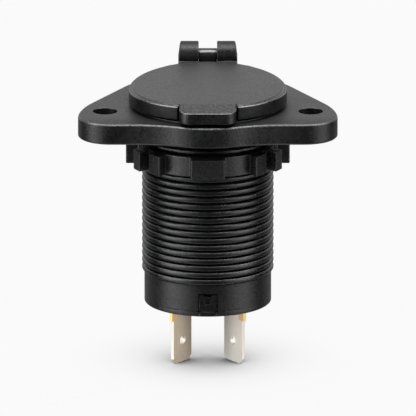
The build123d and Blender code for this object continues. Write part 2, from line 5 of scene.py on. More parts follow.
import bmesh
import bpy
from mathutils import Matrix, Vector


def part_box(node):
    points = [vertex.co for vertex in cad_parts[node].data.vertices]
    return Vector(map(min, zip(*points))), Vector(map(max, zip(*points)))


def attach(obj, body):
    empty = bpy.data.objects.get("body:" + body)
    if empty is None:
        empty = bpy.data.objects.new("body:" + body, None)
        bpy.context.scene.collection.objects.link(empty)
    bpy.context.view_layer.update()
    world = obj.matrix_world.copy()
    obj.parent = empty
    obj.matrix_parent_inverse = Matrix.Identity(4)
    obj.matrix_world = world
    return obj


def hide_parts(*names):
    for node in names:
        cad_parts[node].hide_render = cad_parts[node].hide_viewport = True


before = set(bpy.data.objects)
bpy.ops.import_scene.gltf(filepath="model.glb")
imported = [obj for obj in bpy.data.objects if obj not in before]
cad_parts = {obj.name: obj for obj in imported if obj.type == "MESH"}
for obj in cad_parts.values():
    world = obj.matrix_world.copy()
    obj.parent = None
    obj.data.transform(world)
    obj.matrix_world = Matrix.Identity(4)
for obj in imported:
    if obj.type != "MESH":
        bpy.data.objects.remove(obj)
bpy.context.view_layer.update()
scene = bpy.context.scene
scene.view_settings.view_transform = "Standard"
mm = 0.001

# Photograph: its width in pixels, its scale, and the camera's height above the horizon
photo_width = 416
pixels_per_mm = 4.70
camera_tilt = radians(15.6)
camera_distance = 3.0
camera_aim = Vector((0.04 * mm, 0, -18.13 * mm))
sensor_width = 36

# Brightness of the studio's parts; the softboxes go by side, strength and near edge in degrees
page_white = (0.955, 0.955, 0.955, 1)
wall_low, wall_high, wall_top = 0.36, 1.32, 0.2
front_low, front_high = 0.06, 0.36
gap_share = 0.1
table_light = 0.45
lamp_light = 14.0
softboxes = ((-1, 3.1, 18), (1, 2.35, 26))
softbox_upper_share = 2.2
softbox_on_table = 0.5

# Where those parts start and end: heights and depths of a unit direction, turns in degrees
wall_rise = (-0.15, 0.3)
wall_fade = (0.45, 0.8)
front_rise = (-0.2, 0.5)
table_edge = (-0.62, -0.8)
lamp_edge = (0.62, 0.74)
lamp_depth = (0.33, 0.25)
softbox_height = (-0.6, -0.4, 0.5, 0.65)
softbox_rise = (-0.27, 0.3)
softbox_turn = (72, 76, 90)
table_softbox_turn = (60, 76, 90)
back_turn = (106, 140)
gap_turn = (72, 92)

# Floor: how far its painted shadow reaches, how it falls off and how dark it gets
floor_reach = 6.0
floor_gap = 0.02 * mm
floor_grey = (0.5, 0.5, 0.5, 1)
shadow_reach = 26 * mm
shadow_falloff = 2.2
shadow_depth = 1.72

# Sizes that the barrel, its ridges and its collar share with the solids
crest_radius = 14.0 * mm
ridge_depth = 0.65 * mm
ridge_pitch = 1.5 * mm
ridge_count = 21
ridge_segments = 144
rows_per_ridge = 14
ridge_roundness = 3.0
head_radius = 15.65 * mm
head_foot = 4.5 * mm
head_top = 4.9 * mm
lip_seat_radius = 12.15 * mm
lip_seat = 4.3 * mm
bore_radius = 11.25 * mm
bore_foot = -29.5 * mm
shelf_radius = 9.4 * mm
shelf_foot = -31.0 * mm
collar_radius = 13.5 * mm
collar_bore_radius = 12.0 * mm
collar_top = -31.5 * mm
collar_foot = -37.3 * mm
foot_chamfer = 0.1 * mm
window_half_width = 2.05 * mm
window_height = 3.95 * mm
window_flare = 0.4 * mm
window_cutter_reach = 20 * mm
window_cutter_overhang = 1 * mm

# Rounding of the head's top edge: down its side, in along its top, and the point between
head_round_down = 0.14 * mm
head_round_in = 0.15 * mm
head_round_middle = 0.05 * mm

# Points closer than these are merged; faces flatter than this angle are joined
merge_distance = 0.001 * mm
barrel_merge_distance = 0.002 * mm
flat_angle = radians(0.5)
barrel_sharp_degrees = 42

# Picked edges and corners of the lid, the knuckle and the latch tongues
upright_share = 0.9
brim_heights = (7.2 * mm, 8.15 * mm)
slit_sides = (5.7 * mm, 6.7 * mm)
tab_half_width, tab_back = 6.2 * mm, -14 * mm
hinge_front = 18 * mm
knuckle_ends = (1.7 * mm, 1.96 * mm)
knuckle_front, knuckle_foot = 22.4 * mm, 4.6 * mm
tongue_flanks = (1.85 * mm, 2.0 * mm)
tongue_depth, tongue_foot_slack = 11.9 * mm, 0.05 * mm

# Half widths drawn after the photo's gaps: the solids' knuckle is narrower, 1.82 mm, and
# their latch tongues are wider, 1.93 mm
knuckle_half_width = 1.95 * mm
tongue_half_width = 1.72 * mm

# Blade terminals: middle of each, direction of its width, where the plating ends, and the
# colours of its metals
blade_middle_x = 5.67 * mm
blade_turn_x, blade_turn_y = 0.593, 0.805
plating_edge = (1.9 * mm, 2.1 * mm)
plating_top = (-42.45 * mm, -42.2 * mm)
plating_raggedness = 0.9 * mm
# The left blade's tin is a darker, warmer copy of the right's: painted shade
left_tin_with_painted_shade = ((0.75, 0.65, 0.53), (0.68, 0.57, 0.45))
right_tin = ((0.88, 0.86, 0.80), (0.83, 0.80, 0.73))
sheared_metal = (0.74, 0.68, 0.60)
bare_brass = (0.85, 0.62, 0.32)

# Depths of the bumps of metal and board
metal_scratch_depth = 0.004 * mm
terminal_scratch_depth = 0.006 * mm
fibre_depth = 0.01 * mm

# Edge rounding: least angle of an edge that is rounded, its segments, and the widths
rounded_angle = radians(32)
rounded_segments = 3
flat_face_weight = 90
plate_edge = 0.12 * mm
nut_edge, nut_upright_edge = 0.13 * mm, 0.32 * mm
lid_edge, lid_brim_edge = 0.2 * mm, 0.34 * mm
base_edge = 0.08 * mm
blade_edge = 0.06 * mm
pin_edge = 0.15 * mm

# Regions of the black mouldings: name, limits, specular level and change in roughness. The
# specular levels paint light and shade: a higher level paints highlights on the brim, nut,
# knuckle and plate side, a lower one paints shade on the lid side, tab pad, ears and plate top
# and front. Places are in millimetres, facings are parts of the unit normal. Two limits are
# where the mask is 0 and where it is 1, four go up and down again. A later region lies over
# an earlier one.
# region lies over an earlier one.
plastic_regions = (
    ("upper faces", {"z": (3, 4), "up": (0.7, 0.95)}, None, 0.16),
    ("ridges", {"radius": (14.08, 14.04), "z": (-31.45, -31.35, -0.2, -0.1)}, None, -0.15),
    ("lid side", {"z": (5.2, 5.4), "tilt": (0.4, 0.2), "y": (-17.6, -17.2)}, 0.23, 0),
    ("tab pad",
     {"y": (-18, -17.8, -13.6, -13.4), "across": (5.2, 5), "z": (6.4, 6.8)}, 0.38, 0),
    ("brim", {"z": (7.1, 7.3, 8.2, 8.3), "up": (0.2, 0.35, 0.92, 0.98), "y": (16, 15)}, 0.9, -0.24),
    ("nut", {"radius": (14.10, 14.14), "z": (-9.6, -9.5, -2.4, -2.3)}, 0.55, 0),
    ("ears", {"z": (8.6, 9), "y": (20, 20.5), "up": (0.2, 0.5), "across": (1.95, 2)}, 0.22, 0),
    ("knuckle", {"across": (1.97, 1.95), "y": (22.2, 22.4)}, 0.66, -0.27),
    ("plate top", {"z": (4, 4.2, 4.7, 4.9), "up": (0.95, 0.99)}, 0.4, 0),
    ("plate front", {"z": (4, 4.2, 4.7, 4.9), "up": (0.95, 0.99), "y": (-8, -14)}, 0.24, 0),
    ("plate side",
     {"z": (0.1, 0.2, 4, 4.2), "back": (-0.5, -0.7), "across": (4.5, 8, 15, 19)}, 0.95, 0),
)
usual_shine = 0.5
# Painted light: the nut's colour is this many times lighter than the other mouldings'
nut_painted_lightness = 2
gloss_speckle = 0.9
# Painted shade in creases: how far it reaches and how strongly it dims the shine
crease_shade_reach = 0.9 * mm
crease_shade_depth = 1.5
grip_scale = 1100.0
grip_height = 4.0


def aim_camera():
    """Long lens at the photograph's height, level with the socket's middle."""
    data = bpy.data.cameras.new("long_lens")
    data.sensor_width = sensor_width
    data.lens = sensor_width * camera_distance * pixels_per_mm / (photo_width * mm)
    data.clip_end = 50
    camera = bpy.data.objects.new("camera", data)
    scene.collection.objects.link(camera)
    toward_camera = Vector((0, -cos(camera_tilt), sin(camera_tilt)))
    camera.location = camera_aim + camera_distance * toward_camera
    camera.rotation_euler = (pi / 2 - camera_tilt, 0, 0)
    scene.camera = camera


def fill(tree, socket, value):
    """Links the value to the socket if it is one itself, and else writes it there."""
    if isinstance(value, bpy.types.NodeSocket):
        tree.links.new(value, socket)
    else:
        socket.default_value = value


def add_node(tree, kind, **settings):
    """A node of that kind; settings named after its properties or inputs are filled in."""
    made = tree.nodes.new(kind)
    inputs = {}
    for name, value in settings.items():
        if hasattr(made, name):
            setattr(made, name, value)
        else:
            inputs[name.replace("_", " ")] = value
    for name, value in inputs.items():
        fill(tree, made.inputs[name], value)
    return made


def maths(tree, operation, *values):
    """Result of a Math node; each value is a number or a socket."""
    made = tree.nodes.new("ShaderNodeMath")
    made.operation = operation
    for socket, value in zip(made.inputs, values):
        fill(tree, socket, value)
    return made.outputs[0]


def product(tree, first, *others):
    """All the values multiplied."""
    for other in others:
        first = maths(tree, "MULTIPLY", first, other)
    return first


def soft_step(tree, value, low, high):
    """0 below low, 1 above high, smooth between; low may be above high."""
    flip = low > high
    made = add_node(
        tree, "ShaderNodeMapRange", interpolation_type="SMOOTHSTEP", Value=value,
        From_Min=min(low, high), From_Max=max(low, high), To_Min=int(flip), To_Max=int(not flip),
    )
    return made.outputs["Result"]


def level_between(tree, value, low_start, low_end, high_start, high_end):
    """1 between two soft edges, 0 outside."""
    return product(
        tree,
        soft_step(tree, value, low_start, low_end),
        soft_step(tree, value, high_end, high_start),
    )


def blend_colour(tree, mask, first, second):
    """Colour that goes from first to second with the mask."""
    mix = tree.nodes.new("ShaderNodeMix")
    mix.data_type = "RGBA"
    tree.links.new(mask, mix.inputs["Factor"])
    for socket, value in ((mix.inputs[6], first), (mix.inputs[7], second)):
        fill(tree, socket, (*value, 1) if isinstance(value, tuple) else value)
    return mix.outputs[2]


def blend_value(tree, mask, first, second):
    """Value that goes from first to second with the mask."""
    mix = tree.nodes.new("ShaderNodeMix")
    mix.data_type = "FLOAT"
    tree.links.new(mask, mix.inputs["Factor"])
    for socket, value in ((mix.inputs[2], first), (mix.inputs[3], second)):
        fill(tree, socket, value)
    return mix.outputs[0]


def mix_shaders(tree, mask, first, second):
    """Shader that goes from first to second with the mask."""
    mix = add_node(tree, "ShaderNodeMixShader", Fac=mask)
    tree.links.new(first, mix.inputs[1])
    tree.links.new(second, mix.inputs[2])
    return mix.outputs[0]


def light_studio():
    """Dark front, a softbox on each side, a bright back wall and a lamp overhead."""
    world = bpy.data.worlds.new("studio")
    scene.world = world
    world.use_nodes = True
    tree = world.node_tree
    tree.nodes.clear()
    place = add_node(tree, "ShaderNodeTexCoord").outputs["Generated"]
    x, y, z = add_node(tree, "ShaderNodeSeparateXYZ", Vector=place).outputs
    turn = maths(tree, "ARCTAN2", x, maths(tree, "MULTIPLY", y, -1.0))
    sideways = maths(tree, "ABSOLUTE", turn)

    wall = blend_value(tree, soft_step(tree, z, *wall_rise), wall_low, wall_high)
    wall = blend_value(tree, soft_step(tree, z, *wall_fade), wall, wall_top)
    front = blend_value(tree, soft_step(tree, z, *front_rise), front_low, front_high)
    gap = soft_step(tree, sideways, *map(radians, gap_turn))
    front = product(tree, front, blend_value(tree, gap, 1.0, gap_share))
    back = soft_step(tree, sideways, *map(radians, back_turn))
    level = blend_value(tree, back, front, wall)

    table = soft_step(tree, z, *table_edge)
    level = maths(tree, "ADD", level, product(tree, table, table_light))
    lamp = product(
        tree,
        soft_step(tree, z, *lamp_edge),
        soft_step(tree, maths(tree, "ABSOLUTE", y), *lamp_depth),
        lamp_light,
    )
    level = maths(tree, "ADD", level, lamp)

    height = level_between(tree, z, *softbox_height)
    boost = blend_value(tree, soft_step(tree, z, *softbox_rise), 1.0, softbox_upper_share)
    for side, strength, near_edge in softboxes:
        toward = maths(tree, "MULTIPLY", turn, float(side))
        width = level_between(tree, toward, *map(radians, (near_edge, *softbox_turn)))
        spread = level_between(tree, toward, *map(radians, (near_edge, *table_softbox_turn)))
        softbox = maths(
            tree, "ADD",
            product(tree, width, height, boost),
            product(tree, spread, table, softbox_on_table),
        )
        level = maths(tree, "ADD", level, product(tree, softbox, strength))

    lit = add_node(tree, "ShaderNodeBackground", Strength=level)
    white = add_node(tree, "ShaderNodeBackground", Color=page_white)
    seen = add_node(tree, "ShaderNodeLightPath").outputs["Is Camera Ray"]
    shown = mix_shaders(tree, seen, lit.outputs[0], white.outputs[0])
    add_node(tree, "ShaderNodeOutputWorld", Surface=shown)


def floor_finish():
    """Pale floor: white to the camera where open, with a painted shadow that is darker the more the
    socket covers it.
    """
    material = bpy.data.materials.new("pale_floor")
    material.use_nodes = True
    tree = material.node_tree
    surface = tree.nodes["Principled BSDF"]
    surface.inputs["Base Color"].default_value = floor_grey
    surface.inputs["Roughness"].default_value = 1.0
    surface.inputs["Specular IOR Level"].default_value = 0.0
    # Openness is felt upwards, with a lean to the camera
    lean = add_node(tree, "ShaderNodeCombineXYZ", X=0.0, Y=-0.2, Z=0.98)
    open_share = add_node(
        tree, "ShaderNodeAmbientOcclusion",
        samples=16, Distance=shadow_reach, Normal=lean.outputs[0],
    )
    # Painted shadow: the floor's emission to the camera is darkened where the socket covers its sky
    covered = maths(tree, "SUBTRACT", 1.0, open_share.outputs["AO"])
    covered = maths(tree, "POWER", covered, shadow_falloff)
    brightness = maths(tree, "SUBTRACT", 1.0, product(tree, covered, shadow_depth))
    white = add_node(tree, "ShaderNodeEmission", Color=page_white, Strength=brightness)
    path = tree.nodes.new("ShaderNodeLightPath").outputs
    clear = tree.nodes.new("ShaderNodeBsdfTransparent").outputs[0]
    shader = mix_shaders(tree, path["Is Glossy Ray"], surface.outputs[0], clear)
    shader = mix_shaders(tree, path["Is Camera Ray"], shader, white.outputs[0])
    from_below = add_node(tree, "ShaderNodeNewGeometry").outputs["Backfacing"]
    shader = mix_shaders(tree, from_below, shader, clear)
    tree.links.new(shader, tree.nodes["Material Output"].inputs["Surface"])
    return material


def lay_floor():
    """Level sheet at the blades' tips."""
    mesh = bpy.data.meshes.new("floor")
    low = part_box("positive_terminal")[0].z - floor_gap
    corners = [
        (side_x * floor_reach, side_y * floor_reach, low)
        for side_x, side_y in ((-1, -1), (1, -1), (1, 1), (-1, 1))
    ]
    mesh.from_pydata(corners, [], [(0, 1, 2, 3)])
    floor = bpy.data.objects.new("floor", mesh)
    scene.collection.objects.link(floor)
    mesh.materials.append(floor_finish())


def new_group(name, inputs, outputs):
    """Empty shader group with named inputs and outputs."""
    tree = bpy.data.node_groups.new(name, "ShaderNodeTree")
    for label, kind, value in inputs:
        socket = tree.interface.new_socket(label, in_out="INPUT", socket_type=kind)
        if value is not None:
            socket.default_value = value
    for label in outputs:
        tree.interface.new_socket(label, in_out="OUTPUT", socket_type="NodeSocketFloat")
    source = tree.nodes.new("NodeGroupInput").outputs
    out = tree.nodes.new("NodeGroupOutput").inputs
    return tree, source, out


def noise(tree, place, scale, detail=2.0, rough=0.5, warp=0.0):
    """Noise texture's value at that place."""
    made = add_node(
        tree, "ShaderNodeTexNoise",
        Vector=place, Scale=scale, Detail=detail, Roughness=rough, Distortion=warp,
    )
    return made.outputs["Fac"]


def moulding_grain_group():
    """Spark-eroded grain of a mould: a height for bump and a mask for colour and gloss."""
    tree, source, out = new_group(
        "moulding_grain",
        [("Place", "NodeSocketVector", None), ("Grain Scale", "NodeSocketFloat", 5000.0),
         ("Smudge Scale", "NodeSocketFloat", 90.0)],
        ["Height", "Smudge"],
    )
    place, scale = source["Place"], source["Grain Scale"]
    fine = noise(tree, place, scale, detail=3.0, rough=0.6)
    coarse = noise(tree, place, maths(tree, "MULTIPLY", scale, 0.31))
    height = maths(tree, "ADD", product(tree, fine, 0.65), product(tree, coarse, 0.35))
    smudge = noise(tree, place, source["Smudge Scale"], detail=3.0, rough=0.55, warp=0.6)
    smudge = soft_step(tree, smudge, 0.35, 0.7)
    tree.links.new(height, out["Height"])
    tree.links.new(smudge, out["Smudge"])
    return tree


def handling_marks_group():
    """Fine scratches and stains of metal that has been stamped, plated and handled."""
    tree, source, out = new_group(
        "handling_marks",
        [("Place", "NodeSocketVector", None), ("Scratch Scale", "NodeSocketFloat", 900.0),
         ("Stretch", "NodeSocketVector", (1.0, 1.0, 0.05))],
        ["Scratches", "Stains"],
    )
    stretch = tree.nodes.new("ShaderNodeVectorMath")
    stretch.operation = "MULTIPLY"
    tree.links.new(source["Place"], stretch.inputs[0])
    tree.links.new(source["Stretch"], stretch.inputs[1])
    lines = noise(tree, stretch.outputs[0], source["Scratch Scale"], detail=4.0, rough=0.7)
    stains = noise(tree, source["Place"], 260.0, detail=4.0, rough=0.6, warp=0.8)
    stains = soft_step(tree, stains, 0.4, 0.75)
    tree.links.new(lines, out["Scratches"])
    tree.links.new(stains, out["Stains"])
    return tree


moulding_grain = moulding_grain_group()
handling_marks = handling_marks_group()


def new_finish(name):
    """A material with its tree, its Principled shader, and its place and normal."""
    material = bpy.data.materials.new(name)
    material.use_nodes = True
    tree = material.node_tree
    where = tree.nodes.new("ShaderNodeTexCoord").outputs
    return material, tree, tree.nodes["Principled BSDF"], where["Object"], where["Normal"]


def place_group(tree, group, **inputs):
    """Outputs of a new node of that group with its inputs filled in."""
    made = tree.nodes.new("ShaderNodeGroup")
    made.node_tree = group
    for name, value in inputs.items():
        fill(tree, made.inputs[name.replace("_", " ")], value)
    return made.outputs


def set_bump(tree, surface, height, depth):
    """Gives the surface a bump of that height times that depth."""
    bump = add_node(tree, "ShaderNodeBump", Height=height, Distance=depth, Strength=1.0)
    tree.links.new(bump.outputs["Normal"], surface.inputs["Normal"])


def region_masks(tree, place, normal):
    """Mask of each region of the mouldings, by the region's name."""
    x, y, z = add_node(tree, "ShaderNodeSeparateXYZ", Vector=place).outputs
    facing = add_node(tree, "ShaderNodeSeparateXYZ", Vector=normal).outputs
    squares = maths(tree, "ADD", product(tree, x, x), product(tree, y, y))
    measures = {
        "across": (maths(tree, "ABSOLUTE", x), mm),
        "y": (y, mm),
        "z": (z, mm),
        "radius": (maths(tree, "SQRT", squares), mm),
        "up": (facing["Z"], 1),
        "tilt": (maths(tree, "ABSOLUTE", facing["Z"]), 1),
        "back": (facing["Y"], 1),
    }
    masks = {}
    for name, limits, _, _ in plastic_regions:
        parts = []
        for measure, edges in limits.items():
            value, unit = measures[measure]
            edges = [edge * unit for edge in edges]
            step = soft_step if len(edges) == 2 else level_between
            parts.append(step(tree, value, *edges))
        masks[name] = product(tree, *parts)
    return masks


def moulded_finish(name, dark, light, gloss, grain_scale, grain_depth):
    """Black plastic or rubber: dark and light are its colours, gloss its range of roughness."""
    material, tree, surface, place, normal = new_finish(name)
    grain = place_group(tree, moulding_grain, Place=place, Grain_Scale=grain_scale)
    masks = region_masks(tree, place, normal)

    colour = blend_colour(tree, grain["Smudge"], dark, light)
    # Painted light: the nut is coloured lighter than the rest of the mouldings
    nut_painted_colour = tuple(nut_painted_lightness * part for part in light)
    colour = blend_colour(tree, masks["nut"], colour, nut_painted_colour)
    tree.links.new(colour, surface.inputs["Base Color"])

    rough = blend_value(tree, grain["Smudge"], *gloss)
    speckle = maths(tree, "SUBTRACT", grain["Height"], 0.5)
    rough = maths(tree, "ADD", rough, product(tree, speckle, gloss_speckle))
    # The regions' specular levels paint highlights and shade over the usual shine
    shine = usual_shine
    for region, _, level, change in plastic_regions:
        if level is not None:
            shine = blend_value(tree, masks[region], shine, level)
        if change:
            rough = maths(tree, "ADD", rough, product(tree, masks[region], change))
    tree.links.new(rough, surface.inputs["Roughness"])

    # Painted shade: the shine is dimmed in creases and recesses
    crease = add_node(tree, "ShaderNodeAmbientOcclusion", samples=8, Distance=crease_shade_reach)
    openness = maths(tree, "POWER", crease.outputs["AO"], crease_shade_depth)
    tree.links.new(product(tree, shine, openness), surface.inputs["Specular IOR Level"])

    pips = add_node(tree, "ShaderNodeTexVoronoi", Vector=place, Scale=grip_scale)
    grip = product(tree, masks["tab pad"], pips.outputs["Distance"], grip_height)
    set_bump(tree, surface, maths(tree, "ADD", grain["Height"], grip), grain_depth)
    return material


def metal_finish(name, clean, stained, gloss, stretch):
    """Sheet metal: clean and stained are its colours, stretch draws the scratches out."""
    material, tree, surface, place, _ = new_finish(name)
    marks = place_group(tree, handling_marks, Place=place, Stretch=stretch)
    colour = blend_colour(tree, marks["Stains"], clean, stained)
    tree.links.new(colour, surface.inputs["Base Color"])
    rough = blend_value(tree, marks["Scratches"], *gloss)
    tree.links.new(rough, surface.inputs["Roughness"])
    surface.inputs["Metallic"].default_value = 1.0
    set_bump(tree, surface, marks["Scratches"], metal_scratch_depth)
    return material


def terminal_finish():
    """Tin-plated brass strip with painted shade darkening the left blade: bare outer shoulders,
    sheared edges.
    """
    material, tree, surface, place, normal = new_finish("plated_terminal")
    marks = place_group(
        tree, handling_marks, Place=place, Scratch_Scale=1400.0, Stretch=(1.0, 1.0, 0.06)
    )
    x, y, z = add_node(tree, "ShaderNodeSeparateXYZ", Vector=place).outputs
    speckle = soft_step(tree, noise(tree, place, 3200.0, rough=0.6), 0.3, 0.7)
    # Painted shade: the left blade gets the darker tin
    left = blend_colour(tree, speckle, *left_tin_with_painted_shade)
    right = blend_colour(tree, speckle, *right_tin)
    plated = blend_colour(tree, soft_step(tree, x, -1 * mm, 1 * mm), left, right)

    facing = add_node(tree, "ShaderNodeSeparateXYZ", Vector=normal).outputs
    outward = product(tree, facing["X"], maths(tree, "SIGN", x), blade_turn_x)
    across = maths(tree, "SUBTRACT", outward, product(tree, facing["Y"], blade_turn_y))
    sheared = soft_step(tree, maths(tree, "ABSOLUTE", across), 0.80, 0.95)
    plated = blend_colour(tree, sheared, plated, sheared_metal)

    from_middle = maths(tree, "SUBTRACT", maths(tree, "ABSOLUTE", x), blade_middle_x)
    out_from_middle = maths(
        tree, "ADD",
        product(tree, from_middle, blade_turn_x),
        product(tree, y, -blade_turn_y),
    )
    ragged = maths(tree, "SUBTRACT", noise(tree, place, 900.0), 0.5)
    ragged = product(tree, ragged, plating_raggedness)
    bare = product(
        tree,
        soft_step(tree, maths(tree, "ADD", out_from_middle, ragged), *plating_edge),
        soft_step(tree, maths(tree, "ADD", z, ragged), *plating_top),
    )
    colour = blend_colour(tree, bare, plated, bare_brass)
    tree.links.new(colour, surface.inputs["Base Color"])
    rough = blend_value(tree, marks["Scratches"], 0.46, 0.60)
    tree.links.new(rough, surface.inputs["Roughness"])
    surface.inputs["Metallic"].default_value = 1.0
    set_bump(tree, surface, marks["Scratches"], terminal_scratch_depth)
    return material


def board_finish():
    """Pressed phenolic board with a faint fibre."""
    material, tree, surface, place, _ = new_finish("insulator_brown")
    fibre = noise(tree, place, 1800.0, detail=4.0, rough=0.7, warp=0.4)
    mask = soft_step(tree, fibre, 0.35, 0.7)
    colour = blend_colour(tree, mask, (0.13, 0.055, 0.025), (0.22, 0.10, 0.05))
    tree.links.new(colour, surface.inputs["Base Color"])
    tree.links.new(blend_value(tree, mask, 0.45, 0.62), surface.inputs["Roughness"])
    set_bump(tree, surface, fibre, fibre_depth)
    return material


finishes = {
    "moulded_black": moulded_finish(
        "moulded_black", (0.0024, 0.0025, 0.0027), (0.0034, 0.0035, 0.0037),
        (0.30, 0.37), 4200.0, 0.08 * mm,
    ),
    "seal_rubber": moulded_finish(
        "seal_rubber", (0.014, 0.014, 0.014), (0.024, 0.024, 0.023),
        (0.62, 0.78), 2600.0, 0.012 * mm,
    ),
    "pin_steel": metal_finish(
        "pin_steel", (0.62, 0.61, 0.59), (0.48, 0.46, 0.43), (0.16, 0.34), (0.05, 1.0, 1.0)
    ),
    "plated_steel": metal_finish(
        "plated_steel", (0.74, 0.72, 0.68), (0.60, 0.57, 0.52), (0.14, 0.30), (1.0, 1.0, 0.05)
    ),
    "insulator_brown": board_finish(),
    "contact_brass": metal_finish(
        "contact_brass", (0.80, 0.58, 0.25), (0.60, 0.40, 0.16), (0.20, 0.38), (1.0, 1.0, 1.0)
    ),
    "plated_terminal": terminal_finish(),
}


def keep_as_mesh(piece):
    """Turns what the modifiers make into the piece's own plain mesh."""
    bpy.context.view_layer.update()
    shown = piece.evaluated_get(bpy.context.evaluated_depsgraph_get())
    mesh = bpy.data.meshes.new_from_object(shown)
    piece.modifiers.clear()
    piece.data = mesh
    return piece


def new_piece(name, mesh=None):
    """Object of that name in the scene, with that mesh or an empty one."""
    piece = bpy.data.objects.new(name, mesh or bpy.data.meshes.new(name))
    scene.collection.objects.link(piece)
    return piece


def dress(piece, body, slot, *nodes, sharp=0):
    """Gives a finished piece its finish and its body, and hides the solids it stands for."""
    mesh = piece.data
    mesh.materials.clear()
    mesh.materials.append(finishes[slot])
    mesh.polygons.foreach_set("material_index", [0] * len(mesh.polygons))
    if sharp:
        mesh.shade_smooth()
        mesh.set_sharp_from_angle(angle=radians(sharp))
    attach(piece, body)
    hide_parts(*nodes)


def merged_copy(node, name):
    """Copy of a solid's mesh as one clean shell with its flat faces joined."""
    piece = new_piece(name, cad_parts[node].data.copy())
    bm = bmesh.new()
    bm.from_mesh(piece.data)
    bmesh.ops.remove_doubles(bm, verts=bm.verts, dist=merge_distance)
    bmesh.ops.dissolve_limit(bm, angle_limit=flat_angle, verts=bm.verts, edges=bm.edges)
    bmesh.ops.recalc_face_normals(bm, faces=bm.faces)
    bm.to_mesh(piece.data)
    bm.free()
    return piece


def round_edges(piece, width, wide=0, picked=None):
    """Rounds the sharp edges, the picked ones wider, and keeps the flat faces flat."""
    widest = max(width, wide)
    bm = bmesh.new()
    bm.from_mesh(piece.data)
    weights = bm.edges.layers.float.new("bevel_weight_edge")
    for edge in bm.edges:
        if edge.calc_face_angle(0) > rounded_angle:
            edge[weights] = (wide if picked and picked(edge) else width) / widest
    bm.to_mesh(piece.data)
    bm.free()
    piece.data.shade_smooth()
    bevel = piece.modifiers.new("edges", "BEVEL")
    bevel.width = widest
    bevel.segments = rounded_segments
    bevel.limit_method = "WEIGHT"
    bevel.use_clamp_overlap = False
    bevel.miter_outer = "MITER_ARC"
    level = piece.modifiers.new("normals", "WEIGHTED_NORMAL")
    level.weight = flat_face_weight
    return keep_as_mesh(piece)


def direction_and_middle(edge):
    """Unit direction of an edge and its middle."""
    first, second = (vertex.co for vertex in edge.verts)
    return (second - first).normalized(), (first + second) / 2


def upright(edge):
    """Whether the edge runs up and down."""
    along, _ = direction_and_middle(edge)
    return abs(along.z) > upright_share


def within(value, limits):
    """Whether the value lies between the two limits."""
    low, high = limits
    return low < value < high


def lid_brim(edge):
    """Whether the edge is an outer top edge of the lid's rim, away from its tab."""
    along, middle = direction_and_middle(edge)
    slit = abs(along.y) > 0.7 and within(abs(middle.x), slit_sides)
    tab = abs(middle.x) < tab_half_width and middle.y < tab_back
    hinge = middle.y >= hinge_front
    at_top = within(middle.z, brim_heights) and abs(along.z) < 0.1
    return edge.is_convex and at_top and not (slit or tab or hinge)


def knuckle_corner(place):
    """Whether that place is on an end face of the plate's knuckle."""
    at_end = within(abs(place.x), knuckle_ends)
    return at_end and place.y > knuckle_front and place.z > knuckle_foot


def tongue_corner(place):
    """Whether that place is on a flank of a latch tongue."""
    at_flank = within(abs(place.x), tongue_flanks)
    above_foot = place.z > collar_foot - tongue_foot_slack
    return at_flank and abs(place.y) > tongue_depth and above_foot


def set_half_width(piece, half_width, picked):
    """Moves the picked corners sideways to that distance from the middle plane."""
    for corner in piece.data.vertices:
        if picked(corner.co):
            corner.co.x = half_width if corner.co.x > 0 else -half_width


def lathe(bm, profile, segments):
    """Turns a list of (radius, height) about Z into rings of faces."""
    angles = [2 * pi * k / segments for k in range(segments)]
    rings = [
        [bm.verts.new((radius * cos(angle), radius * sin(angle), height)) for angle in angles]
        for radius, height in profile
    ]
    for low, high in zip(rings, rings[1:]):
        for k in range(segments):
            n = (k + 1) % segments
            bm.faces.new((low[k], low[n], high[n], high[k]))


